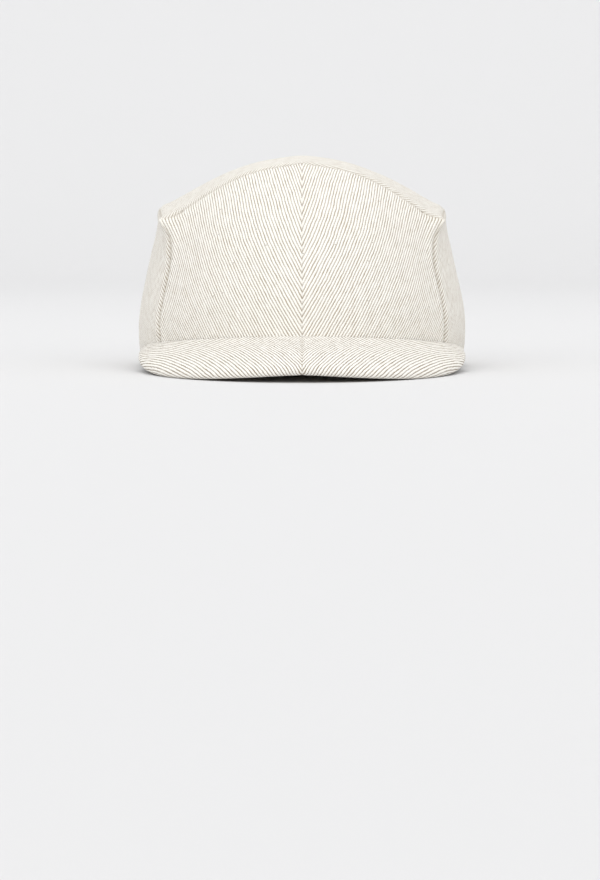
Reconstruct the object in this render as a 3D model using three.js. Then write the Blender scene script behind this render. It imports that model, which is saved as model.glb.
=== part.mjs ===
// A peaked linen cap: a crown of five sewn panels, a sweatband inside its rim, and a short padded peak.
// It rests as it would on a table, on the back of its rim and on both sides of its peak.
// Millimetres, +Z up. The peak points along -Y, +X is the wearer's left, and the origin is under the middle.

import * as THREE from "three";

// Head size: the oval inside the sweatband, at the rim.
const HEAD_WIDTH = 172;
const HEAD_LENGTH = 198;

// Crown
const CROWN_HEIGHT = 119;
const PANEL_WALL = 2.6;
const FRONT_PUFF = 3.6;
const SIDE_PUFF = 6;

// Sweatband
const BAND_HEIGHT = 32;
const BAND_WALL = 2;

// Peak: its length is measured from the rim, its width over everything.
const PEAK_LENGTH = 54;
const PEAK_WIDTH = 178;
const PEAK_THICKNESS = 6.2;
const PEAK_CAMBER = 1.6;
const PEAK_SLOPE_FRONT = 12;
const PEAK_SLOPE_SIDE = 30;
const LINING_WALL = 1.6;
const EDGE_TURN_UNDER = 4.6;

// What is left between two pieces that touch.
const SEAM_GAP = 0.3;

// The oval of the panels' outer faces at the rim.
const RIM_BUILD_UP = BAND_WALL + SEAM_GAP + PANEL_WALL;
const HALF_WIDTH = HEAD_WIDTH / 2 + RIM_BUILD_UP;
const HALF_LENGTH = HEAD_LENGTH / 2 + RIM_BUILD_UP;

// A head is narrower in front: the rim narrows by this share at the front and widens by it at the back.
const RIM_TAPER = 0.11;

// Where the seams leave the rim, in degrees round it from the front, and how far round the peak reaches.
const SIDE_SEAM_TURN = 64;
const BACK_SEAM_TURN = 163;
const PEAK_END_TURN = 77;

// The peak's outline is an ellipse, widest this share of the half length ahead of the middle.
const PEAK_WIDEST_FORWARD = 0.325;
const OUTLINE_END_TURN = 96;

// The rim lies flat behind this share of the half length, and rises ahead of it towards the peak.
const RIM_FLAT_UNTIL = -0.7;
const RIM_RISE_POWER = 1.2;

// Seams of the crown. Across, forward and up are shares of the half width, of the half length, and of
// the height from the rim to the crown's top.
const CENTRE_SEAM = [
  { across: 0, forward: 0.915, up: 0.308 },
  { across: 0, forward: 0.785, up: 0.592 },
  { across: 0, forward: 0.645, up: 0.785 },
  { across: 0, forward: 0.52, up: 0.893 },
  { across: 0, forward: 0.395, up: 0.957 },
];
const EAR = { across: 0.85, forward: 0.325, up: 0.658 };
const SIDE_SEAM = [
  { across: 0.865, forward: 0.43, up: 0.17 },
  { across: 0.818, forward: 0.404, up: 0.38 },
  { across: 0.799, forward: 0.384, up: 0.51 },
  { across: 0.808, forward: 0.36, up: 0.592 },
  EAR,
];
const CREST_SEAM = [
  { across: 0, forward: 0.395, up: 0.957 },
  { across: 0.27, forward: 0.4, up: 0.915 },
  { across: 0.475, forward: 0.387, up: 0.848 },
  { across: 0.635, forward: 0.36, up: 0.77 },
  { across: 0.745, forward: 0.34, up: 0.712 },
  EAR,
];
const SHOULDER_SEAM = [
  EAR,
  { across: 0.874, forward: 0.21, up: 0.7 },
  { across: 0.888, forward: 0.03, up: 0.734 },
  { across: 0.87, forward: -0.2, up: 0.735 },
  { across: 0.79, forward: -0.46, up: 0.682 },
  { across: 0.66, forward: -0.7, up: 0.572 },
  { across: 0.5, forward: -0.865, up: 0.395 },
  { across: 0.385, forward: -0.935, up: 0.2 },
];
const TOP_LINE = [
  { across: 0, forward: 0.395, up: 0.957 },
  { across: 0, forward: 0.2, up: 0.992 },
  { across: 0, forward: 0, up: 1 },
  { across: 0, forward: -0.28, up: 0.966 },
  { across: 0, forward: -0.557, up: 0.875 },
  { across: 0, forward: -0.788, up: 0.7 },
  { across: 0, forward: -0.92, up: 0.44 },
  { across: 0, forward: -0.98, up: 0.2 },
];

// Share of the shoulder seam, from the ear, that is the side panel's top. The rest is its back edge.
const SHOULDER_TOP_SHARE = 0.62;

// Power of the rounded box whose outward direction the cloth's thickness follows.
const BOX_POWER = 2.6;

const radians = THREE.MathUtils.degToRad;
const lerp = THREE.MathUtils.lerp;
const left = 1;
const right = -1;

// The peak's slope below the level, at a turn round the rim.
function peakSlope(turn) {
  const share = Math.pow(Math.abs(turn) / PEAK_END_TURN, 1.3);
  return radians(lerp(PEAK_SLOPE_FRONT, PEAK_SLOPE_SIDE, share));
}

// The rim's oval seen from above, let out by a gap.
function rimOval(turn, gap) {
  const forward = Math.cos(radians(turn));
  const across = Math.sin(radians(turn)) * (1 - RIM_TAPER * forward);
  return new THREE.Vector2((HALF_WIDTH + gap) * across, -(HALF_LENGTH + gap) * forward);
}

// The peak at a turn round the rim, seen from above: where it starts, its direction and its length.
function peakInPlan(turn) {
  const inner = rimOval(turn, SEAM_GAP);
  const outlineTurn = radians((turn / PEAK_END_TURN) * OUTLINE_END_TURN);
  const widest = HALF_LENGTH * PEAK_WIDEST_FORWARD;
  const depth = HALF_LENGTH + PEAK_LENGTH - widest;
  const outer = new THREE.Vector2(
    (PEAK_WIDTH / 2) * Math.sin(outlineTurn),
    -widest - depth * Math.cos(outlineTurn),
  );
  const reach = outer.clone().sub(inner);
  return { inner, direction: reach.clone().normalize(), length: reach.length() };
}

// Share of the front's rise that the rim has at a forward share.
function rimRiseShare(forward) {
  const share = (forward - RIM_FLAT_UNTIL) / (1 - RIM_FLAT_UNTIL);
  return Math.pow(Math.max(0, share), RIM_RISE_POWER);
}

// How far the rounded edge of the peak hangs below the rim, at a turn.
function peakDrop(turn) {
  const slope = peakSlope(turn);
  const radius = PEAK_THICKNESS / 2;
  const length = peakInPlan(turn).length / Math.cos(slope);
  return (length - radius) * Math.sin(slope) + radius * (1 - Math.cos(slope));
}

// The peak's edge stands on the table, so its deepest point sets how far the rim's front is lifted.
const PEAK_TURNS = evenSteps(-PEAK_END_TURN, PEAK_END_TURN, 36);
const RIM_RISE = Math.max(
  ...PEAK_TURNS.map((turn) => peakDrop(turn) / rimRiseShare(Math.cos(radians(turn)))),
);

function evenSteps(from, to, cells) {
  return Array.from({ length: cells + 1 }, (_, i) => lerp(from, to, i / cells));
}

function rimHeight(forward) {
  return RIM_RISE * rimRiseShare(forward);
}

function rimPoint(turn) {
  const oval = rimOval(turn, 0);
  return new THREE.Vector3(oval.x, oval.y, rimHeight(Math.cos(radians(turn))));
}

function crownPoint({ across, forward, up }, side) {
  return new THREE.Vector3(
    side * across * HALF_WIDTH,
    -forward * HALF_LENGTH,
    lerp(rimHeight(forward), CROWN_HEIGHT, up),
  );
}

// A smooth line through points, as a function of the share of its length.
function smoothLine(points) {
  const curve = new THREE.CatmullRomCurve3(points, false, "centripetal");
  return (share) => curve.getPointAt(THREE.MathUtils.clamp(share, 0, 1));
}

function rimLine(fromTurn, toTurn) {
  return (share) => rimPoint(lerp(fromTurn, toTurn, share));
}

function seamLine(table, side) {
  return table.map((row) => crownPoint(row, side));
}

// The seams of one side of the crown.
function seamsOf(side) {
  return {
    centre: smoothLine([rimPoint(0), ...seamLine(CENTRE_SEAM, side)]),
    side: smoothLine([rimPoint(side * SIDE_SEAM_TURN), ...seamLine(SIDE_SEAM, side)]),
    crest: smoothLine(seamLine(CREST_SEAM, side)),
    shoulder: smoothLine([...seamLine(SHOULDER_SEAM, side), rimPoint(side * BACK_SEAM_TURN)]),
  };
}

// A panel stretched between four edges. Bottom and top run with u, start and end with v.
function stretched({ bottom, top, start, end }) {
  const corner = {
    bottomStart: bottom(0),
    bottomEnd: bottom(1),
    topStart: top(0),
    topEnd: top(1),
  };
  return (u, v) =>
    new THREE.Vector3()
      .addScaledVector(bottom(u), 1 - v)
      .addScaledVector(top(u), v)
      .addScaledVector(start(v), 1 - u)
      .addScaledVector(end(v), u)
      .addScaledVector(corner.bottomStart, -(1 - u) * (1 - v))
      .addScaledVector(corner.bottomEnd, -u * (1 - v))
      .addScaledVector(corner.topStart, -(1 - u) * v)
      .addScaledVector(corner.topEnd, -u * v);
}

// Outward direction of a rounded box as large as the crown. Neighbouring panels share it at their seam.
function outward(point) {
  const forward = -point.y / HALF_LENGTH;
  const floor = rimHeight(THREE.MathUtils.clamp(forward, -1, 1));
  const push = (distance, half) =>
    (Math.sign(distance) * Math.pow(Math.abs(distance / half), BOX_POWER - 1)) / half;
  return new THREE.Vector3(
    push(point.x, HALF_WIDTH),
    push(point.y, HALF_LENGTH),
    push(Math.max(0, point.z - floor), CROWN_HEIGHT - floor),
  ).normalize();
}

// A panel that swells by puff in its middle.
function puffed(surface, puff) {
  return (u, v) => {
    const point = surface(u, v);
    const share = Math.max(0, Math.sin(Math.PI * u) * Math.sin(Math.PI * v));
    return point.addScaledVector(outward(point), puff * Math.pow(share, 0.8));
  };
}

function frontSurface(side) {
  const seams = seamsOf(side);
  const edges = {
    bottom: rimLine(0, side * SIDE_SEAM_TURN),
    top: seams.crest,
    start: seams.centre,
    end: seams.side,
  };
  return puffed(stretched(edges), FRONT_PUFF);
}

function sideSurface(side) {
  const seams = seamsOf(side);
  const edges = {
    bottom: rimLine(side * SIDE_SEAM_TURN, side * BACK_SEAM_TURN),
    top: (share) => seams.shoulder(share * SHOULDER_TOP_SHARE),
    start: seams.side,
    end: (share) => seams.shoulder(lerp(1, SHOULDER_TOP_SHARE, share)),
  };
  return puffed(stretched(edges), SIDE_PUFF);
}

// The top panel runs from the rim's back, at v 0, over the crown to the crest, at v 1.
function topSurface() {
  const seams = { left: seamsOf(left), right: seamsOf(right) };
  const edges = {
    bottom: rimLine(-BACK_SEAM_TURN, BACK_SEAM_TURN - 360),
    top: (share) => (share < 0.5 ? seams.right.crest(1 - 2 * share) : seams.left.crest(2 * share - 1)),
    start: (share) => seams.right.shoulder(1 - share),
    end: (share) => seams.left.shoulder(1 - share),
  };
  const flat = stretched(edges);
  const line = smoothLine([...seamLine(TOP_LINE, left), rimPoint(180)]);
  return (u, v) => {
    const lift = line(1 - v).sub(flat(0.5, v));
    return flat(u, v).addScaledVector(lift, Math.pow(Math.sin(Math.PI * u), 1.2));
  };
}

// Cloth normal of a surface, on the outer side of the crown.
function normalOf(surface, u, v) {
  const step = 0.004;
  const low = (t) => Math.max(0, t - step);
  const high = (t) => Math.min(1, t + step);
  const alongU = surface(high(u), v).sub(surface(low(u), v));
  const alongV = surface(u, high(v)).sub(surface(u, low(v)));
  const normal = alongU.cross(alongV).normalize();
  return normal.dot(outward(surface(u, v))) < 0 ? normal.negate() : normal;
}

// The point that lies depth below a surface, straight in from its point at u, v.
function below(surface, u, v, depth) {
  const point = surface(u, v);
  const inward = outward(point).negate();
  const lean = Math.max(0.6, -inward.dot(normalOf(surface, u, v)));
  return point.addScaledVector(inward, depth / lean);
}

// A solid through rings of points, one ring after another. Each ring runs along one side and back along
// the other, so an open end is closed by a strip across it. A closed band has no ends.
function loftedSolid(rings, closedBand = false) {
  const size = rings[0].length;
  const faces = [];
  const last = closedBand ? rings.length : rings.length - 1;
  for (let i = 0; i < last; i++) {
    for (let k = 0; k < size; k++) {
      const here = i * size;
      const next = ((i + 1) % rings.length) * size;
      const after = (k + 1) % size;
      faces.push([here + k, next + k, next + after], [here + k, next + after, here + after]);
    }
  }
  if (!closedBand) {
    const end = (rings.length - 1) * size;
    for (let k = 0; k < size / 2 - 1; k++) {
      const [a, b, c, d] = [k, k + 1, size - 2 - k, size - 1 - k];
      faces.push([a, b, c], [a, c, d], [end + a, end + c, end + b], [end + a, end + d, end + c]);
    }
  }
  return closedGeometry(rings.flat(), faces);
}

// A geometry of points and faces, turned so that its faces point out.
function closedGeometry(points, faces) {
  const volume = faces.reduce(
    (sum, [a, b, c]) => sum + points[a].dot(points[b].clone().cross(points[c])),
    0,
  );
  const order = volume > 0 ? faces : faces.map(([a, b, c]) => [a, c, b]);
  const geometry = new THREE.BufferGeometry();
  geometry.setAttribute(
    "position",
    new THREE.Float32BufferAttribute(points.flatMap((p) => p.toArray()), 3),
  );
  geometry.setIndex(order.flat());
  geometry.computeVertexNormals();
  return geometry;
}

// Shares from 0 to 1 in cells, held back from a seam at either end by half the gap.
function sharesBetween(line, cells, seamAtStart, seamAtEnd) {
  const steps = evenSteps(0, 1, 8).map(line);
  const length = steps.slice(1).reduce((sum, p, i) => sum + p.distanceTo(steps[i]), 0);
  const inset = SEAM_GAP / 2 / length;
  return evenSteps(seamAtStart ? inset : 0, seamAtEnd ? 1 - inset : 1, cells);
}

// A cloth panel with seams on all edges but its bottom, which is the rim.
function panelGeometry(surface, uCells, vCells) {
  const uLine = (v) => sharesBetween((t) => surface(t, v), uCells, true, true);
  const rows = sharesBetween((t) => surface(0.5, t), vCells, false, true);
  const grid = rows.map((v) => uLine(v));
  const rings = evenSteps(0, uCells, uCells).map((_, i) => {
    const outer = rows.map((v, j) => surface(grid[j][i], v));
    const inner = rows.map((v, j) => below(surface, grid[j][i], v, PANEL_WALL));
    return [...outer, ...inner.reverse()];
  });
  return loftedSolid(rings);
}

// The share v at which a panel has risen by height above its rim.
function shareAtRise(surface, u, height) {
  const foot = surface(u, 0).z;
  let low = 0;
  let high = 1;
  for (let i = 0; i < 24; i++) {
    const middle = (low + high) / 2;
    if (surface(u, middle).z - foot < height) low = middle;
    else high = middle;
  }
  return low;
}

// The sweatband lines the foot of every panel in turn, all the way round.
function sweatbandGeometry() {
  const panels = [
    { surface: frontSurface(left), shares: evenSteps(0, 1, 11) },
    { surface: sideSurface(left), shares: evenSteps(0, 1, 15) },
    { surface: topSurface(), shares: evenSteps(1, 0, 8) },
    { surface: sideSurface(right), shares: evenSteps(1, 0, 15) },
    { surface: frontSurface(right), shares: evenSteps(1, 0, 11) },
  ];
  const heights = evenSteps(0, BAND_HEIGHT, 4);
  const rings = panels.flatMap(({ surface, shares }) =>
    shares.slice(0, -1).map((u) => {
      const rise = heights.map((height) => shareAtRise(surface, u, height));
      const depth = PANEL_WALL + SEAM_GAP;
      const outer = rise.map((v) => below(surface, u, v, depth));
      const inner = rise.map((v) => below(surface, u, v, depth + BAND_WALL));
      return [...outer, ...inner.reverse()];
    }),
  );
  return loftedSolid(rings, true);
}

// The peak's own place at a turn: its foot on the rim, its downhill direction, its upper side, its length.
function peakPlace(turn) {
  const { inner, direction, length } = peakInPlan(turn);
  const slope = peakSlope(turn);
  const down = new THREE.Vector3(
    direction.x * Math.cos(slope),
    direction.y * Math.cos(slope),
    -Math.sin(slope),
  );
  const up = new THREE.Vector3(
    direction.x * Math.sin(slope),
    direction.y * Math.sin(slope),
    Math.cos(slope),
  );
  const foot = new THREE.Vector3(inner.x, inner.y, rimHeight(Math.cos(radians(turn))));
  return { foot, down, up, length: length / Math.cos(slope) };
}

// A run of points along the peak at one height above its underside, bowed by the camber.
function peakRun(from, to, cells, height, length) {
  return evenSteps(from, to, cells).map((reach) => {
    const share = reach / length;
    const bow = PEAK_CAMBER * 4 * share * (1 - share) * (length / PEAK_LENGTH);
    return new THREE.Vector2(reach, height + bow);
  });
}

// Outline of the cover: flat on top, round at the edge, and turned under as far as the lining.
function coverOutline(length) {
  const radius = PEAK_THICKNESS / 2;
  const reach = Math.min(radius, length * 0.45);
  const turnUnder = Math.min(EDGE_TURN_UNDER, length * 0.55);
  const round = evenSteps(75, -75, 5).map((angle) => {
    const a = radians(angle);
    return new THREE.Vector2(length - reach + reach * Math.cos(a), radius + radius * Math.sin(a));
  });
  const recess = LINING_WALL + SEAM_GAP;
  return [
    ...peakRun(0, length - reach, 6, PEAK_THICKNESS, length),
    ...round,
    ...peakRun(length - reach, length - turnUnder, 1, 0, length),
    ...peakRun(length - turnUnder, 0, 6, recess, length),
  ];
}

function liningOutline(length) {
  const reach = length - Math.min(EDGE_TURN_UNDER, length * 0.55) - SEAM_GAP;
  return [
    ...peakRun(0, reach, 6, LINING_WALL, length),
    ...peakRun(reach, 0, 6, 0, length),
  ];
}

function peakGeometry(outlineOf) {
  const places = PEAK_TURNS.map(peakPlace);
  const rings = places.map(({ foot, down, up, length }) =>
    outlineOf(length).map((p) =>
      foot.clone().addScaledVector(down, p.x).addScaledVector(up, p.y),
    ),
  );
  return loftedSolid(rings);
}

// Cloths, coloured as in daylight.
const twill = new THREE.MeshStandardMaterial({ color: 0xeee8da, roughness: 0.9, metalness: 0 });
const lining = new THREE.MeshStandardMaterial({ color: 0xcfc4ae, roughness: 0.95, metalness: 0 });
const bandCloth = new THREE.MeshStandardMaterial({ color: 0xd8ccb2, roughness: 0.95, metalness: 0 });

function addPiece(group, name, geometry, material) {
  const mesh = new THREE.Mesh(geometry, material);
  mesh.name = name;
  group.add(mesh);
}

// The crown: two front panels that meet at the centre seam, two side panels, and the top panel.
function crown() {
  const group = new THREE.Group();
  addPiece(group, "front_panel_left", panelGeometry(frontSurface(left), 14, 14), twill);
  addPiece(group, "front_panel_right", panelGeometry(frontSurface(right), 14, 14), twill);
  addPiece(group, "side_panel_left", panelGeometry(sideSurface(left), 20, 12), twill);
  addPiece(group, "side_panel_right", panelGeometry(sideSurface(right), 20, 12), twill);
  addPiece(group, "top_panel", panelGeometry(topSurface(), 18, 22), twill);
  return group;
}

// The peak: a padded cover turned under at the edge, and the lining sewn to it below.
function peak() {
  const group = new THREE.Group();
  addPiece(group, "peak_cover", peakGeometry(coverOutline), twill);
  addPiece(group, "peak_lining", peakGeometry(liningOutline), lining);
  return group;
}

const cap = new THREE.Group();
cap.add(crown(), peak());
addPiece(cap, "sweatband", sweatbandGeometry(), bandCloth);

// Put the origin under the middle of the cap, at the level it rests on.
const reach = new THREE.Box3().setFromObject(cap);
const middle = reach.getCenter(new THREE.Vector3());
cap.position.set(-middle.x, -middle.y, -reach.min.z);

export default cap;
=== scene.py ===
# A peaked cap of cream ribbed linen, resting on the back of its rim and on the sides of its peak.
# Metres, +Z up, the peak towards -Y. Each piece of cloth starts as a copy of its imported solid.
import math

import bpy
from mathutils import Matrix, Vector, kdtree, noise


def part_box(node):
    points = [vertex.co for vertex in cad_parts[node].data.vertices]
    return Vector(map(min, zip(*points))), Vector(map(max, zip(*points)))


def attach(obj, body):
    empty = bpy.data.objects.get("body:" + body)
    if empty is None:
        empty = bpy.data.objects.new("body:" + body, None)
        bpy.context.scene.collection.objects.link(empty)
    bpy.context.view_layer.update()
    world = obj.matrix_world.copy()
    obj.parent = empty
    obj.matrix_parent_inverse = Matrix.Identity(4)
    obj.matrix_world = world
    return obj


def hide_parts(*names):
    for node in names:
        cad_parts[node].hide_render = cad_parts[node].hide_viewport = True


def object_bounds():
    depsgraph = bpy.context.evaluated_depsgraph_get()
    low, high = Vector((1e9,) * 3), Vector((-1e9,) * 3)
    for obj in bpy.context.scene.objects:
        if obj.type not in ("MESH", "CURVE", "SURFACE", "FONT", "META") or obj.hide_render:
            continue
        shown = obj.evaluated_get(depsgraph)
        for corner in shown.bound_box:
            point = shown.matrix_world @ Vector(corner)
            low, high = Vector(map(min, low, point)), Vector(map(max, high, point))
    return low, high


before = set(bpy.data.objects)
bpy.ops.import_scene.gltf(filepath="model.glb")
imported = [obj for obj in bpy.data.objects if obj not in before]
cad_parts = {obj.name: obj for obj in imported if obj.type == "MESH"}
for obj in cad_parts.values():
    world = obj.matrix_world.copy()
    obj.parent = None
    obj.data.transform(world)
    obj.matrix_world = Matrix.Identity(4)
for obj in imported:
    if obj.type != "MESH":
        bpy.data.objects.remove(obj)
cad_low, cad_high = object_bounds()

# Camera: straight in front of the peak and just above the table, with a long lens.
# It aims below the cap, so the cap stands in the upper part of a tall picture.
cap_middle = Vector((-0.0011, 0.0, 0.06))
aim_drop = 0.0995
camera_distance = 1.6
camera_rise = math.radians(1)
towards_camera = Vector((0, -math.cos(camera_rise), math.sin(camera_rise)))
bpy.ops.object.camera_add(location=cap_middle + camera_distance * towards_camera)
camera = bpy.context.object
camera.name = "camera"
camera.data.lens = 118
camera.data.sensor_width = 36
camera.data.clip_start = 0.05
aim = cap_middle - Vector((0, 0, aim_drop))
camera.rotation_euler = (aim - camera.location).to_track_quat("-Z", "Y").to_euler()
bpy.context.scene.camera = camera

# Table and wall: one pale sweep of paper, flat under the cap and curved up behind it.
# It is far larger than the cap, so that its edges stay out of every view.
paper_width, paper_length = 30, 18
paper_back = 1.8
paper_curve = 1.4
wall_height = 3.0
bpy.ops.object.select_all(action="DESELECT")
bpy.ops.mesh.primitive_plane_add(size=1, location=(0, 0, 0))
sweep = bpy.context.object
sweep.name = "paper_sweep"
bpy.ops.object.mode_set(mode="EDIT")
bpy.ops.transform.resize(value=(paper_width, paper_length, 1))
bpy.ops.transform.translate(value=(0, paper_back - paper_length / 2, 0))
bpy.ops.object.mode_set(mode="OBJECT")
for vertex in sweep.data.vertices:
    vertex.select = vertex.co.y > 0
for edge in sweep.data.edges:
    edge.select = all(sweep.data.vertices[v].select for v in edge.vertices)
for face in sweep.data.polygons:
    face.select = False
bpy.ops.object.mode_set(mode="EDIT")
bpy.ops.mesh.spin(steps=24, angle=-math.pi / 2, center=(0, paper_back, paper_curve), axis=(1, 0, 0))
bpy.ops.mesh.extrude_region_move(TRANSFORM_OT_translate={"value": (0, 0, wall_height)})
bpy.ops.mesh.select_all(action="SELECT")
bpy.ops.mesh.remove_doubles(threshold=1e-4)
bpy.ops.mesh.normals_make_consistent(inside=False)
bpy.ops.object.mode_set(mode="OBJECT")
bpy.ops.object.shade_smooth()
paper = bpy.data.materials.new("pale_paper")
paper.use_nodes = True
paper_shader = paper.node_tree.nodes["Principled BSDF"]
paper_shader.inputs["Base Color"].default_value = (0.73, 0.73, 0.735, 1)
paper_shader.inputs["Roughness"].default_value = 0.9
sweep.data.materials.append(paper)

# Light: a broad soft panel above and in front, one on each side further off, one for the wall, and
# the room's own light.
cap_low = (0, 0, 0.05)
for light_name, place, target, size, watts in [
    ("light_above", (0.0, -0.9, 2.2), cap_low, 2.4, 9),
    ("light_left", (-2.4, -2.85, 1.325), cap_low, 2.4, 20.25),
    ("light_right", (2.4, -2.85, 1.325), cap_low, 2.4, 18),
    ("light_wall", (0.0, 0.4, 2.6), (0, 3.2, 0.8), 2.0, 16),
]:
    bpy.ops.object.light_add(type="AREA", location=place)
    panel = bpy.context.object
    panel.name = light_name
    panel.data.size = size
    panel.data.energy = watts
    panel.rotation_euler = (Vector(target) - Vector(place)).to_track_quat("-Z", "Y").to_euler()
room = bpy.data.worlds.new("room")
room.use_nodes = True
room.node_tree.nodes["Background"].inputs["Color"].default_value = (1, 1, 1, 1)
room.node_tree.nodes["Background"].inputs["Strength"].default_value = 0.95
bpy.context.scene.world = room
bpy.context.scene.view_settings.view_transform = "Standard"

# Front panels: two pieces of ribbed linen twill on stiff backing, sewn to each other at the centre.
# The ribs slant down towards that seam. Every seam is pressed in, and the rim is a soft fold.
cloth_wall = 0.0026
rib_pitch = 0.0015
twill_relief = 0.0004
backing_pitch = 0.0011
rim_half_length = 0.1039
rim_lift = 0.01471
lift_from = 0.7
lift_power = 1.2
rim_reach = 0.003
centre_reach = 0.0006
crease_angle = math.radians(50)
heart = Vector((0, cad_high.y - rim_half_length, 0.045))


def share_of(value):
    return min(1, max(0, value))


def only(piece):
    bpy.ops.object.select_all(action="DESELECT")
    piece.select_set(True)
    bpy.context.view_layer.objects.active = piece


def deselect(mesh):
    for part in (mesh.vertices, mesh.edges, mesh.polygons):
        part.foreach_set("select", [False] * len(part))


def apply(piece, kind, **settings):
    modifier = piece.modifiers.new(kind.lower(), kind)
    for setting, value in settings.items():
        setattr(modifier, setting, value)
    only(piece)
    bpy.ops.object.modifier_apply(modifier=modifier.name)


def smooth(piece, levels, **settings):
    apply(piece, "SUBSURF", levels=levels, render_levels=levels, **settings)


def shade_smoothly(piece):
    only(piece)
    bpy.ops.object.shade_smooth_by_angle(angle=crease_angle)


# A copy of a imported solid, its loose triangles joined and made four-sided again.
def copy_of(node, name):
    piece = bpy.data.objects.new(name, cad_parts[node].data.copy())
    bpy.context.scene.collection.objects.link(piece)
    piece.data.materials.clear()
    only(piece)
    bpy.ops.object.mode_set(mode="EDIT")
    bpy.ops.mesh.select_all(action="SELECT")
    bpy.ops.mesh.remove_doubles(threshold=1e-5)
    bpy.ops.mesh.tris_convert_to_quads(face_threshold=math.radians(60), shape_threshold=math.radians(80))
    bpy.ops.object.mode_set(mode="OBJECT")
    for layer in list(piece.data.uv_layers):
        piece.data.uv_layers.remove(layer)
    return piece


# Leaves the side that faces away from the middle of the head's hollow.
def keep_outer_side(piece):
    deselect(piece.data)
    for face in piece.data.polygons:
        face.select = face.normal.dot((face.center - heart).normalized()) < 0.5
    bpy.ops.object.mode_set(mode="EDIT")
    bpy.ops.mesh.select_mode(type="FACE")
    bpy.ops.mesh.delete(type="FACE")
    bpy.ops.mesh.select_all(action="SELECT")
    bpy.ops.object.mode_set(mode="OBJECT")


# Flattens a piece as if it were unpicked, to real size, and turns it so that its ribs run along V.
# foot and head are two places on the grain line; slant turns the ribs away from it, clockwise.
def lay_flat(piece, foot, head, slant):
    only(piece)
    bpy.ops.object.mode_set(mode="EDIT")
    bpy.ops.mesh.select_all(action="SELECT")
    bpy.ops.uv.unwrap(method="ANGLE_BASED", margin=0)
    bpy.ops.object.mode_set(mode="OBJECT")
    mesh = piece.data
    flat = mesh.uv_layers.active.data
    at = {}
    for loop in mesh.loops:
        at.setdefault(loop.vertex_index, flat[loop.index].uv.copy())
    low = min(mesh.vertices, key=lambda v: (v.co - foot).length)
    high = min(mesh.vertices, key=lambda v: (v.co - head).length)
    real = sum(face.area for face in mesh.polygons)
    laid = 0
    for face in mesh.polygons:
        corners = [flat[i].uv for i in face.loop_indices]
        laid += sum(a.cross(b) for a, b in zip(corners, corners[1:] + corners[:1])) / 2
    size = math.sqrt(real / abs(laid))
    grain = at[high.index] - at[low.index]
    turn = math.pi / 2 - math.atan2(grain.y, grain.x)
    origin = at[low.index]
    for loop in mesh.loops:
        spot = (flat[loop.index].uv - origin) * size
        across = spot.x * math.cos(turn) - spot.y * math.sin(turn)
        along = spot.x * math.sin(turn) + spot.y * math.cos(turn)
        if laid < 0:
            across = -across
        flat[loop.index].uv = (
            across * math.cos(slant) + along * math.sin(slant),
            along * math.cos(slant) - across * math.sin(slant),
        )


# A steamed front panel isn't quite flat cloth: low down its ribs follow slanting planes as well.
def steam(piece, side, foot):
    tilt, lean = math.radians(30.5), math.radians(43)
    low, band_height, most = 0.07, 0.04, 0.6
    flat = piece.data.uv_layers.active.data
    for loop in piece.data.loops:
        spot = piece.data.vertices[loop.vertex_index].co
        away = spot - foot
        rise = away.z * math.cos(tilt) - away.y * math.sin(tilt)
        across = rise * math.sin(lean) - abs(away.x) * math.cos(lean)
        high = share_of((spot.z - low) / band_height)
        share = most * (1 - high * high * (3 - 2 * high))
        flat[loop.index].uv.x += share * (-side * across - flat[loop.index].uv.x)


def open_edges(mesh):
    used = [0] * len(mesh.edges)
    for loop in mesh.loops:
        used[loop.edge_index] += 1
    return [edge for edge in mesh.edges if used[edge.index] == 1]


# The rim's height above the table, from the back, where it rests, to the front.
def rim_rise(y):
    share = max(0, (-(y - heart.y) / rim_half_length + lift_from) / (1 + lift_from))
    return rim_lift * share**lift_power


# The pointed corner, on the same side as a place, where a front, a side and the top panel meet.
def ear_by(spot):
    return Vector((math.copysign(0.0773, spot.x), heart.y - 0.0338, 0.0811))


# Presses the cloth in along points, each with its depth, lifts it a little beside them, and marks the dip,
# where the colour is darkened: as deep as it is, or by the shade given.
def press_along(piece, points, width, swell=0.0, shade=None):
    tree = kdtree.KDTree(len(points))
    for order, (spot, depth) in enumerate(points):
        tree.insert(spot, order)
    tree.balance()
    normals = [v.normal.copy() for v in piece.data.vertices]
    dip = piece.data.attributes.get("dip") or piece.data.attributes.new("dip", "FLOAT", "POINT")
    for vertex in piece.data.vertices:
        spot, order, reach = tree.find(vertex.co)
        depth = points[order][1]
        near = math.exp(-((reach / width) ** 2))
        beside = math.exp(-(((reach - 3.2 * width) / (1.6 * width)) ** 2))
        vertex.co += normals[vertex.index] * (swell * beside - depth * near)
        mark = min(1, depth / 0.001) if shade is None else shade
        dip.data[vertex.index].value = max(dip.data[vertex.index].value, mark * near)


# The cloth's own unevenness, and the corner that the three panels draw out at each side.
def soften(piece):
    broad_dent, small_dent, ear_width = 0.00035, 0.00012, 0.0062
    for vertex in piece.data.vertices:
        ear = ear_by(vertex.co)
        dent = noise.noise(vertex.co * 38) * broad_dent + noise.noise(vertex.co * 90) * small_dent
        vertex.co += (vertex.co - heart).normalized() * dent
        pull = math.exp(-(((vertex.co - ear).length / ear_width) ** 2))
        vertex.co += Vector((math.copysign(0.0017, ear.x), -0.0006, 0.0013)) * pull


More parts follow.
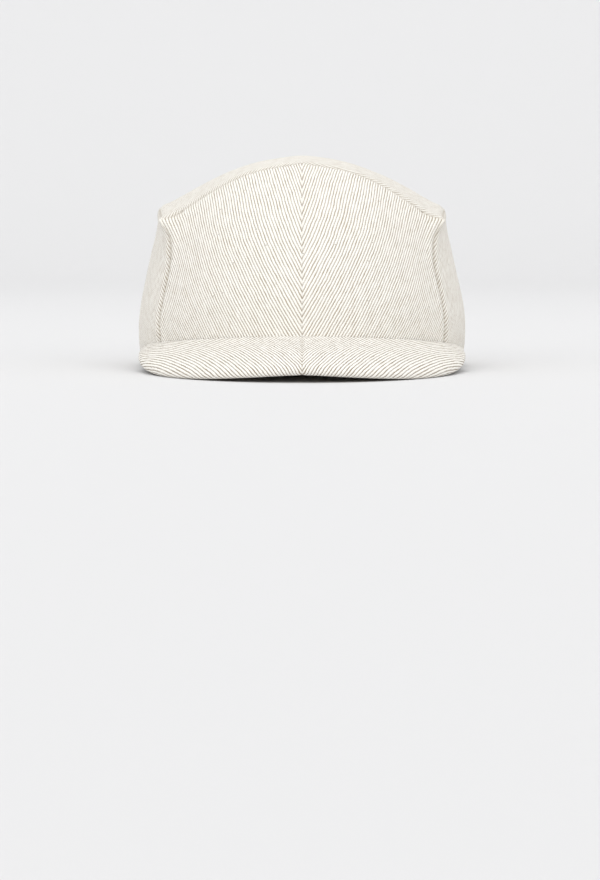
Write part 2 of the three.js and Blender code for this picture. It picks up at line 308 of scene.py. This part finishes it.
# The rim isn't a seam, and the two front panels meet almost flush. The crest's seam is half as deep,
# and every seam grows shallow at the corners.
def press_seams(piece, depth=0.0013, width=0.0012, swell=0.0004):
    mesh = piece.data
    seam = {v for edge in open_edges(mesh) for v in edge.vertices}
    rim = {v for v in seam if mesh.vertices[v].co.z < rim_rise(mesh.vertices[v].co.y) + rim_reach}
    points = []
    for index in sorted(seam - rim):
        spot = mesh.vertices[index].co.copy()
        if abs(spot.x) < centre_reach and spot.y < heart.y:
            points.append((spot, 0.00015))
        else:
            near = math.exp(-(((spot - ear_by(spot)).length / 0.008) ** 2))
            crest = 0.5 if spot.y < heart.y and spot.z > 0.088 else 1.0
            points.append((spot, depth * crest * (1 - 0.8 * near)))
    # Each seam's dip gets painted shade in the colour, darker the deeper it is pressed.
    press_along(piece, points, width, swell)
    soften(piece)
    group = piece.vertex_groups.new(name="rim")
    group.add(sorted(rim), 1, "REPLACE")


# Gives the cloth its thickness, inwards, and rounds the fold at the rim.
def thicken(piece, wall):
    outer = len(piece.data.vertices)
    apply(piece, "SOLIDIFY", thickness=wall, offset=-1, material_offset=1, use_quality_normals=True)
    mesh = piece.data
    group = piece.vertex_groups["rim"].index
    rim = {v.index for v in mesh.vertices if any(g.group == group for g in v.groups)}
    faces = {}
    for face in mesh.polygons:
        for key in face.edge_keys:
            faces.setdefault(key, []).append(face.normal)
    deselect(mesh)
    for edge in mesh.edges:
        a, b = edge.vertices
        same_side = (a < outer) == (b < outer)
        if a in rim and b in rim and same_side:
            one, other = faces[edge.key]
            edge.select = one.angle(other) > 0.9
    only(piece)
    bpy.ops.object.mode_set(mode="EDIT")
    bpy.ops.mesh.select_mode(type="EDGE")
    bpy.ops.mesh.bevel(offset=0.38 * wall, segments=4, profile=0.5, affect="EDGES")
    bpy.ops.object.mode_set(mode="OBJECT")
    piece.vertex_groups.clear()
    for vertex in mesh.vertices:
        vertex.co.z = max(vertex.co.z, 0)
    shade_smoothly(piece)


# The node tree of one cloth, on its flat layout: U runs across the ribs and V along them, in metres.
class Weave:

    def __init__(self, name):
        self.material = bpy.data.materials.new(name)
        self.material.use_nodes = True
        self.nodes = self.material.node_tree.nodes
        self.links = self.material.node_tree.links
        self.shader = self.nodes["Principled BSDF"]
        uv = self.nodes.new("ShaderNodeUVMap")
        self.flat = uv.outputs["UV"]
        parts = self.nodes.new("ShaderNodeSeparateXYZ")
        self.links.new(self.flat, parts.inputs[0])
        self.across, self.along = parts.outputs["X"], parts.outputs["Y"]

    def math(self, operation, *values):
        node = self.nodes.new("ShaderNodeMath")
        node.operation = operation
        for socket, value in zip(node.inputs, values):
            if isinstance(value, bpy.types.NodeSocket):
                self.links.new(value, socket)
            else:
                socket.default_value = value
        return node.outputs[0]

    def add(self, one, other):
        return self.math("ADD", one, other)

    def times(self, one, other):
        return self.math("MULTIPLY", one, other)

    def centred(self, value):
        return self.math("SUBTRACT", value, 0.5)

    def noise(self, scale, detail=2.0, stretch=(1, 1, 1)):
        place = self.nodes.new("ShaderNodeMapping")
        place.inputs["Scale"].default_value = stretch
        self.links.new(self.flat, place.inputs["Vector"])
        node = self.nodes.new("ShaderNodeTexNoise")
        node.inputs["Scale"].default_value = scale
        node.inputs["Detail"].default_value = detail
        self.links.new(place.outputs["Vector"], node.inputs["Vector"])
        return node.outputs["Fac"]

    def dip(self):
        node = self.nodes.new("ShaderNodeAttribute")
        node.attribute_name = "dip"
        return node.outputs["Fac"]

    def flecks(self, scale, radius):
        node = self.nodes.new("ShaderNodeTexVoronoi")
        node.inputs["Scale"].default_value = scale
        self.links.new(self.flat, node.inputs["Vector"])
        return self.math("LESS_THAN", node.outputs["Distance"], radius)

    def wave(self, phase):
        turned = self.math("COSINE", self.times(phase, 2 * math.pi))
        return self.math("MULTIPLY_ADD", turned, 0.5, 0.5)

    def ramp(self, value, stops):
        node = self.nodes.new("ShaderNodeValToRGB")
        for index, (place, colour) in enumerate(stops):
            if index < 2:
                stop = node.color_ramp.elements[index]
                stop.position = place
            else:
                stop = node.color_ramp.elements.new(place)
            stop.color = (*colour, 1)
        self.links.new(value, node.inputs["Fac"])
        return node.outputs["Color"]

    # Mixes a colour that comes from another node with a plain one.
    def mix(self, share, colour, plain):
        node = self.nodes.new("ShaderNodeMix")
        node.data_type = "RGBA"
        self.links.new(share, node.inputs["Factor"])
        self.links.new(colour, node.inputs["A"])
        node.inputs["B"].default_value = (*plain, 1)
        return node.outputs["Result"]

    def finish(self, colour, height, depth, roughness):
        self.links.new(colour, self.shader.inputs["Base Color"])
        bump = self.nodes.new("ShaderNodeBump")
        bump.inputs["Distance"].default_value = depth
        bump.inputs["Strength"].default_value = 1.0
        self.links.new(height, bump.inputs["Height"])
        self.links.new(bump.outputs["Normal"], self.shader.inputs["Normal"])
        self.shader.inputs["Roughness"].default_value = roughness
        self.shader.inputs["Sheen Weight"].default_value = 0.15
        self.shader.inputs["Sheen Roughness"].default_value = 0.6
        return self.material


# Ribs of cream yarn, each wound with yarn at a slant. Darker in the grooves: partly the yarn's own tone,
# partly painted shade.
def ribbed_twill(name, pitch, shade=0.5, groove=(0.43, 0.35, 0.25)):
    weave = Weave(name)
    sway = weave.times(weave.centred(weave.noise(55)), 0.9)
    jitter = weave.times(weave.centred(weave.noise(900, stretch=(1, 0.45, 1))), 0.34)
    even_ribs = weave.math("DIVIDE", weave.across, pitch)
    rib_count = weave.add(even_ribs, weave.add(sway, jitter))
    rib = weave.wave(rib_count)
    even_yarns = weave.math("DIVIDE", weave.along, 0.92 * pitch)
    yarn = weave.wave(weave.add(even_yarns, weave.times(rib_count, 0.5)))
    fibre = weave.noise(2600, detail=3)
    tone = weave.noise(420, stretch=(1, 0.3, 1))
    shoulder = weave.math("POWER", rib, 0.55)
    height = weave.add(shoulder, weave.times(yarn, weave.times(rib, 0.22)))
    height = weave.add(height, weave.times(fibre, 0.16))
    # Painted light and shade: the colour follows the rib's rise, on top of the yarn's own tone.
    lit = weave.add(rib, weave.times(weave.centred(tone), 0.5))
    lit = weave.add(lit, weave.times(yarn, 0.12))
    bank = tuple(0.5 * part + 0.45 for part in groove)
    stops = [(0.05, groove), (0.2, bank), (0.42, (0.91, 0.87, 0.785)), (0.9, (0.97, 0.95, 0.89))]
    colour = weave.ramp(lit, stops)
    # Darker where the dip is marked: painted shade in the pressed seams, and at the peak's ends a tone like
    # the lining's.
    colour = weave.mix(weave.times(weave.dip(), shade), colour, (0.36, 0.30, 0.22))
    colour = weave.mix(weave.times(weave.flecks(150, 0.05), 0.75), colour, (0.25, 0.20, 0.15))
    return weave.finish(colour, height, twill_relief, 0.92)


# The plain woven stiffening behind the twill, which shows inside the crown.
def backing_cloth(name):
    weave = Weave(name)
    warp = weave.wave(weave.math("DIVIDE", weave.across, backing_pitch))
    weft = weave.wave(weave.math("DIVIDE", weave.along, backing_pitch))
    grid = weave.times(weave.add(warp, weft), 0.18)
    grain = weave.add(grid, weave.times(weave.noise(1500), 0.75))
    colour = weave.ramp(grain, [(0.2, (0.45, 0.40, 0.32)), (0.8, (0.70, 0.64, 0.54))])
    return weave.finish(colour, grain, 0.0001, 0.95)


twill = ribbed_twill("ribbed_linen_twill", rib_pitch)
backing = backing_cloth("stiff_backing")

for side, x in (("right", -1), ("left", 1)):
    front = copy_of(f"front_panel_{side}", f"front_cloth_{side}")
    keep_outer_side(front)
    low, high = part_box(f"front_panel_{side}")
    foot = Vector((x * 0.0002, low.y, rim_rise(low.y)))
    lay_flat(front, foot, Vector((x * 0.0002, heart.y - 0.045, high.z)), x * math.radians(-19))
    steam(front, x, foot)
    for vertex in front.data.vertices:
        if abs(vertex.co.x) < centre_reach:
            vertex.co.x = x * 0.00003
    smooth(front, 3, boundary_smooth="PRESERVE_CORNERS")
    press_seams(front)
    front.data.materials.append(twill)
    front.data.materials.append(backing)
    thicken(front, cloth_wall)
    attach(front, "root")
    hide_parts(f"front_panel_{side}")

# Side panels: the same twill, one piece each from the side seam round to the back.
# They stand out a little from the front panels, so the side seam lies in a dip below the corner.
for side, x in (("right", -1), ("left", 1)):
    flank = copy_of(f"side_panel_{side}", f"side_cloth_{side}")
    keep_outer_side(flank)
    lay_flat(
        flank,
        foot=Vector((x * 0.091, heart.y + 0.01, 0.003)),
        head=Vector((x * 0.082, heart.y + 0.01, 0.085)),
        slant=x * math.radians(-45),
    )
    smooth(flank, 3, boundary_smooth="PRESERVE_CORNERS")
    press_seams(flank)
    flank.data.materials.append(twill)
    flank.data.materials.append(backing)
    thicken(flank, cloth_wall)
    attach(flank, "root")
    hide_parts(f"side_panel_{side}")

# Top panel: one long piece of twill from the crest of the front, over the crown and down the back.
# It is sewn to the front and side panels, and its lower end is folded in at the rim.
crown_top = copy_of("top_panel", "top_cloth")
keep_outer_side(crown_top)
lay_flat(
    crown_top,
    foot=Vector((0, heart.y + 0.09, 0.05)),
    head=Vector((0, heart.y - 0.04, 0.115)),
    slant=math.radians(-45),
)
smooth(crown_top, 3, boundary_smooth="PRESERVE_CORNERS")
press_seams(crown_top)
crown_top.data.materials.append(twill)
crown_top.data.materials.append(backing)
thicken(crown_top, cloth_wall)
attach(crown_top, "root")
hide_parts("top_panel")

# Peak cover: twill drawn over a stiff padded board, rolled round its edge and turned under.
# Its two halves meet in the middle, and the ribs close towards the front like a V.
peak_pitch = 0.00158
peak_edge = 0.0031
peak_slant = math.radians(22)
peak_end, peak_cap, outline_end = 77, 76, 96
peak_turns = [-peak_end + 2 * peak_end * step / 36 for step in range(37)]
fine_turns = [-peak_cap + 2 * peak_cap * step / 900 for step in range(901)]
lining_turns = [turn for turn in fine_turns if abs(turn) < 67]
end_turns = [turn for turn in fine_turns if abs(turn) > 52]
middle_slope, added_slope = 12, 18
foot_width, foot_length, oval_taper = 0.0912, 0.1042, 0.11
outline_width, outline_length, outline_ahead = 0.089, 0.124132, 0.033768
middle_length, peak_bow = 0.054, 0.0064
crown_height = 0.119
edge_thinning = 0.22
crown_names = [f"{part}_cloth_{side}" for part in ("front", "side") for side in ("right", "left")]
crown = [bpy.data.objects[name] for name in crown_names]


# The peak at a turn round the rim, in degrees from the front: its foot, its directions downhill, up and
# in plan, and its length.
def peak_place(turn):
    angle, outline = math.radians(turn), math.radians(turn * outline_end / peak_end)
    share = (abs(turn) / peak_end) ** 1.3
    slope = math.radians(middle_slope + added_slope * share)
    across = foot_width * math.sin(angle) * (1 - oval_taper * math.cos(angle))
    inner = Vector((across, -foot_length * math.cos(angle), 0))
    ahead = -outline_ahead - outline_length * math.cos(outline)
    outer = Vector((outline_width * math.sin(outline), ahead, 0))
    level = (outer - inner).normalized()
    down = level * math.cos(slope) - Vector((0, 0, math.sin(slope)))
    up = level * math.sin(slope) + Vector((0, 0, math.cos(slope)))
    length = (outer - inner).length / math.cos(slope)
    foot = inner + Vector((0, heart.y, cad_high.z - crown_height))
    foot.z += rim_rise(heart.y - rim_half_length * math.cos(angle))
    return foot, down, up, level, length


# A point under the peak, by how far it is from the foot and below the cloth.
def under_peak(turn, reach, below=0.0):
    foot, down, up, level, length = peak_place(turn)
    share = reach / length
    bow = peak_bow * share * (1 - share) * (length / middle_length)
    return foot + down * reach + up * (bow - below)


# A seam's points under the peak, each this far in from the edge, with the depth that it is pressed to.
def seam_under(turns, inset, depth=0.0):
    return [(under_peak(turn, peak_place(turn)[4] - inset), depth) for turn in turns]


# A place or a move on the peak's flat layout, turned so that the ribs run along V.
def along_ribs(x, y):
    across = x * math.cos(peak_slant) + y * math.sin(peak_slant)
    return Vector((across, x * math.sin(peak_slant) - y * math.cos(peak_slant)))


# Lays the cover flat: the cloth beyond the edge counts on from it, so the ribs run on round the roll.
# The board thins out towards that edge, and the cover with it.
def lay_peak(piece):
    quarter = peak_edge * math.pi / 2
    rings = [(turn, *peak_place(turn)) for turn in peak_turns]
    spots, reaches = [], []
    for vertex in piece.data.vertices:
        best = None
        for turn, foot, down, up, level, length in rings:
            lever = vertex.co - foot
            reach, height = lever.dot(down), lever.dot(up)
            rest = lever - down * reach - up * height
            if best is None or rest.length < best[0].length:
                best = (rest, turn, foot, up, level, length, reach, height)
        rest, turn, foot, up, level, length, reach, height = best
        edge_near = share_of((reach - length + 0.014) / 0.010) * min(1, length / 0.045)
        vertex.co -= up * (edge_thinning * edge_near * height)
        past = reach - (length - peak_edge)
        if abs(turn) > peak_cap:
            over = past - quarter * (height - peak_edge) / peak_edge
        elif past > 0:
            over = -peak_edge * math.atan2(height - peak_edge, past)
        elif height > peak_edge:
            over = past - quarter
        else:
            over = quarter - past
        spot = foot + level * (length + over) + rest
        spots.append((-abs(spot.x), spot.y - heart.y))
        reaches.append(reach)
    flat = piece.data.uv_layers.new(name="flat").data
    for loop in piece.data.loops:
        flat[loop.index].uv = along_ribs(*spots[loop.vertex_index])
    return reaches


# Leaves the piece in edit mode with its sharp edges selected.
def select_sharp(piece):
    only(piece)
    bpy.ops.object.mode_set(mode="EDIT")
    bpy.ops.mesh.select_mode(type="EDGE")
    bpy.ops.mesh.select_all(action="DESELECT")
    bpy.ops.mesh.edges_select_sharp(sharpness=crease_angle)


peak = copy_of("peak_cover", "peak_cloth")
select_sharp(peak)
bpy.ops.transform.edge_crease(value=0.7)
bpy.ops.object.mode_set(mode="OBJECT")
reaches = lay_peak(peak)
crease = peak.data.attributes["crease_edge"].data
for edge in peak.data.edges:
    if crease[edge.index].value > 0 and all(reaches[v] < 0.004 for v in edge.vertices):
        crease[edge.index].value = 1
smooth(peak, 3)


# Lets the cover's top run on up its own slope to the crown, as far as the seam there draws it.
def draw_to_crown(piece):
    catch, fade, longest, clearance = 0.014, 0.006, 0.012, 0.0001
    inner_wall = kdtree.KDTree(len(fine_turns))
    for order, turn in enumerate(fine_turns):
        foot, down, up, level, length = peak_place(turn)
        inner_wall.insert(foot + up * peak_edge, order)
    inner_wall.balance()
    shifts = {}
    for vertex in piece.data.vertices:
        spot, order, away = inner_wall.find(vertex.co)
        if away > catch:
            continue
        foot, down, up, level, length = peak_place(fine_turns[order])
        reach, height = (vertex.co - foot).dot(down), (vertex.co - foot).dot(up)
        weight = math.exp(-((max(0, reach) / fade) ** 2)) * share_of(height / 0.0025)
        weight *= share_of((length - reach) / fade)
        beside = up.cross(down)
        gaps = []
        for offset in (-0.0012, 0, 0.0012):
            start = vertex.co + beside * offset
            for cloth in crown:
                struck, place, normal, face = cloth.ray_cast(start, -down, distance=longest)
                if struck:
                    gaps.append((place - start).length)
        if gaps and weight > 0.01:
            move = (min(gaps) - clearance) * weight
            vertex.co -= down * move
            shifts[vertex.index] = (math.copysign(level.x * move, level.x * vertex.co.x), -level.y * move)
    flat = piece.data.uv_layers.active.data
    for loop in piece.data.loops:
        if loop.vertex_index in shifts:
            flat[loop.index].uv += along_ribs(*shifts[loop.vertex_index])


draw_to_crown(peak)
# Painted shade: a dark line along the seam under the roll, and a dark strip behind the turned ridges.
edge_seam = seam_under(fine_turns, 0.0029, 0.0007) + seam_under(fine_turns, 0.0034, 0.0005)
press_along(peak, edge_seam, 0.0005, shade=1.0)
press_along(peak, seam_under(lining_turns, 0.0044), 0.0008, shade=1.0)
# Towards the ends the turned cloth is darkened to the lining's tone.
press_along(peak, seam_under(end_turns, 0.0041), 0.0014, shade=0.45)
# Faint painted shade along the middle seam, as deep as it is pressed.
middle_seam = [(v.co.copy(), 0.0003) for v in peak.data.vertices if abs(v.co.x) < 1e-5]
press_along(peak, middle_seam, 0.0009)
shade_smoothly(peak)
# Deeper brown grooves than the crown's: painted shade in the grooves round the roll, and stronger painted
# shade along its seams.
peak_twill = ribbed_twill("peak_linen_twill", peak_pitch, shade=0.7, groove=(0.27, 0.20, 0.12))
peak.data.materials.append(peak_twill)
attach(peak, "root")
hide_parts("peak_cover")

# Turned edge of the cover: past the seam under the roll, its ribs end in a row of short pale ridges.
# They are part of the twill, eased round the curve and caught in the seam with the lining.
ridge_pitch = 0.0018
ridge_length, ridge_width, ridge_height = 0.0054, 0.00088, 0.0008
ridge_end, ridge_inset = 69, 0.0036
ridge_lean = 0.3


# A grain of this length, rounded at its ends, upright at the origin.
def bead(name, length, width, height):
    bpy.ops.object.select_all(action="DESELECT")
    bpy.ops.mesh.primitive_uv_sphere_add(segments=8, ring_count=5, radius=0.5)
    piece = bpy.context.object
    piece.name = name
    bpy.ops.object.mode_set(mode="EDIT")
    bpy.ops.transform.resize(value=(width, height, width))
    bpy.ops.object.mode_set(mode="OBJECT")
    for vertex in piece.data.vertices:
        vertex.co.z += math.copysign((length - width) / 2, vertex.co.z)
    bpy.ops.object.shade_smooth()
    return piece


# Copies a bead to each place and joins the copies. Its length lies along, stretched by how long that
# is, and its height stands out.
def row_of(template, name, places):
    beads = []
    for spot, along, out in places:
        side = along.cross(out).normalized()
        turned = Matrix((side, along.normalized().cross(side), along)).transposed().to_4x4()
        copy = bpy.data.objects.new(name, template.data.copy())
        copy.data.transform(Matrix.Translation(spot) @ turned)
        bpy.context.scene.collection.objects.link(copy)
        beads.append(copy)
    bpy.data.objects.remove(template)
    bpy.ops.object.select_all(action="DESELECT")
    for copy in beads:
        copy.select_set(True)
    bpy.context.view_layer.objects.active = beads[0]
    bpy.ops.object.join()
    row = bpy.context.object
    row.name = name
    return row


# Turns round the peak that are one pitch apart, measured under it this far in from its edge.
def evenly_round(pitch, last, inset):
    fine = [-last + 2 * last * step / 2400 for step in range(2401)]
    line = [spot for spot, depth in seam_under(fine, inset)]
    turns, walked = [], pitch / 2
    for before, here, turn in zip(line, line[1:], fine[1:]):
        walked += (here - before).length
        if walked >= pitch:
            walked -= pitch
            turns.append(turn)
    return turns


# Twisted yarn, on the bead's own round layout, and darker towards one end where that is asked for.
def thread(name, dark, pale, end=None):
    weave = Weave(name)
    strand = weave.wave(weave.math("MULTIPLY_ADD", weave.across, 2, weave.times(weave.along, 3)))
    grain = weave.math("MULTIPLY_ADD", strand, 0.6, weave.times(weave.noise(9), 0.4))
    colour = weave.ramp(grain, [(0.15, dark), (0.7, pale)])
    if end:
        colour = weave.mix(weave.math("POWER", weave.along, 3), colour, end)
    return weave.finish(colour, grain, 0.00005, 0.9)


ridges = []
for turn in evenly_round(ridge_pitch, ridge_end, 0.0045):
    foot, down, up, level, length = peak_place(turn)
    sideways = -math.copysign(1, turn) * up.cross(down).normalized()
    lean = ridge_lean * min(1, abs(turn) / 4)
    share = min(1, 0.2 + 0.8 * length / 0.055)
    half = ridge_length / 2 * share
    spot = under_peak(turn, length - ridge_inset - half, below=0.00015) + sideways * lean * half
    ridges.append((spot, (sideways * lean - down) * share, -up))
turned_ribs = row_of(bead("ridge", ridge_length, ridge_width, ridge_height), "turned_ribs", ridges)
turned_twill = thread("turned_twill", (0.82, 0.75, 0.63), (0.98, 0.945, 0.86), end=(0.68, 0.61, 0.50))
turned_ribs.data.materials.append(turned_twill)
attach(turned_ribs, "root")

# Peak lining: plain beige canvas under the board, sewn to the turned edge of the cover.
# It is stretched tight, and darker in the shadow of the ridges at its edge.
canvas_pitch = 0.0009


# Plain weave with slubs and a few dark flecks.
def canvas(name, dark, pale, pitch):
    weave = Weave(name)
    warp_sway, weft_sway = (weave.times(weave.noise(scale), 1.2) for scale in (700, 650))
    warp = weave.wave(weave.add(weave.math("DIVIDE", weave.across, pitch), warp_sway))
    weft = weave.wave(weave.add(weave.math("DIVIDE", weave.along, pitch), weft_sway))
    slub = weave.times(weave.noise(1500, stretch=(1, 0.6, 1)), 1.1)
    grain = weave.math("MULTIPLY_ADD", weave.times(warp, weft), 0.35, slub)
    grain = weave.math("SUBTRACT", grain, 0.2)
    colour = weave.ramp(grain, [(0.15, dark), (0.55, pale)])
    # Painted shadow where the dip is marked.
    colour = weave.mix(weave.times(weave.dip(), 0.9), colour, (0.22, 0.175, 0.12))
    colour = weave.mix(weave.times(weave.flecks(110, 0.06), 0.7), colour, (0.25, 0.20, 0.14))
    return weave.finish(colour, grain, 0.00016, 0.95)


def set_flat(piece, spot_of):
    mesh = piece.data
    flat = mesh.uv_layers.new(name="flat").data
    for loop in mesh.loops:
        flat[loop.index].uv = spot_of(mesh.vertices[loop.vertex_index].co)


lining = copy_of("peak_lining", "peak_canvas")
set_flat(lining, lambda spot: (spot.x, spot.y))
select_sharp(lining)
bpy.ops.transform.edge_crease(value=0.8)
bpy.ops.object.mode_set(mode="OBJECT")
smooth(lining, 3)
for inset, width, shade in ((0.0052, 0.0018, 1.0), (0.0075, 0.0018, 0.4)):
    press_along(lining, seam_under(lining_turns, inset), width, shade=shade)
shade_smoothly(lining)
lining.data.materials.append(canvas("beige_canvas", (0.40, 0.335, 0.25), (0.70, 0.63, 0.515), canvas_pitch))
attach(lining, "root")
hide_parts("peak_lining")

# Rear stitching: a row of cream thread over the rim's fold, where the peak is sewn to the crown.
# In front of each stitch the needle's hole is drawn as a small dark grain: painted shadow in the hole.
stitch_pitch = 0.0019
stitch_end = 74
outer_inset, inner_inset = 0.0006, 0.0019
rim_half_width = 0.0909


# The underside of the rim at a turn round it, this far inside the oval of its outer face.
def under_rim(turn, inset):
    angle = math.radians(turn)
    across = (rim_half_width - inset) * math.sin(angle) * (1 - oval_taper * math.cos(angle))
    start = Vector((across, heart.y - (rim_half_length - inset) * math.cos(angle), -0.01))
    hits = [cloth.ray_cast(start, Vector((0, 0, 1))) for cloth in crown]
    places = [place for struck, place, normal, face in hits if struck]
    return min(places, key=lambda place: place.z) if places else None


stitches = []
hole_shadows = []
turn = -stitch_end
while turn < stitch_end:
    outer, inner = under_rim(turn, outer_inset), under_rim(turn, inner_inset)
    ahead = under_rim(turn + 0.5, outer_inset)
    step = 1.0
    if outer and inner and ahead:
        middle = outer.lerp(inner, 0.5)
        step = 0.5 * stitch_pitch / (ahead - outer).length
        round_rim = (ahead - outer).normalized()
        down = Vector((0, 0, -1))
        inwards = round_rim.cross(down)
        if inwards.dot(inner - outer) < 0:
            inwards = -inwards
        lean = -math.copysign(0.35, turn) * min(1, abs(turn) / 4)
        stitches.append((middle + down * 0.0001, (inwards + round_rim * lean).normalized(), down))
        hole_shadows.append((outer + round_rim * 0.5 * stitch_pitch + inwards * 0.0003, inwards, down))
    turn += step
sewing = row_of(bead("stitch", 0.0024, 0.00095, 0.0010), "rear_stitches", stitches)
sewing.data.materials.append(thread("cream_thread", (0.60, 0.53, 0.42), (0.93, 0.89, 0.80)))
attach(sewing, "root")
needle_hole_shadows = row_of(bead("hole", 0.0015, 0.0009, 0.0006), "needle_hole_shadows", hole_shadows)
needle_hole_shadows.data.materials.append(thread("needle_shadow", (0.10, 0.08, 0.055), (0.16, 0.13, 0.09)))
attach(needle_hole_shadows, "root")

# Sweatband: a cotton tape folded over at the rim, inside the panels all the way round.
# Its edges are rounded folds, and its layout is unrolled round the head and closed at the back.
band_radius = 0.09
band_pitch = 0.0008
fold_radius = 0.0007
band = copy_of("sweatband", "band_cloth")
set_flat(band, lambda spot: (math.atan2(spot.x, heart.y - spot.y) * band_radius, spot.z))
for face in band.data.polygons:
    corners = [band.data.uv_layers.active.data[i] for i in face.loop_indices]
    if max(corner.uv.x for corner in corners) - min(corner.uv.x for corner in corners) > 0.2:
        for corner in corners:
            corner.uv.x += 2 * math.pi * band_radius if corner.uv.x < 0 else 0
select_sharp(band)
bpy.ops.mesh.bevel(offset=fold_radius, segments=3, profile=0.5, affect="EDGES")
bpy.ops.object.mode_set(mode="OBJECT")
smooth(band, 1)
shade_smoothly(band)
# The band's colour is its own brown-beige, darkened in part as painted shade for the hollow it lies in.
band.data.materials.append(canvas("band_cotton", (0.38, 0.31, 0.215), (0.66, 0.58, 0.45), band_pitch))
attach(band, "root")
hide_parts("sweatband")
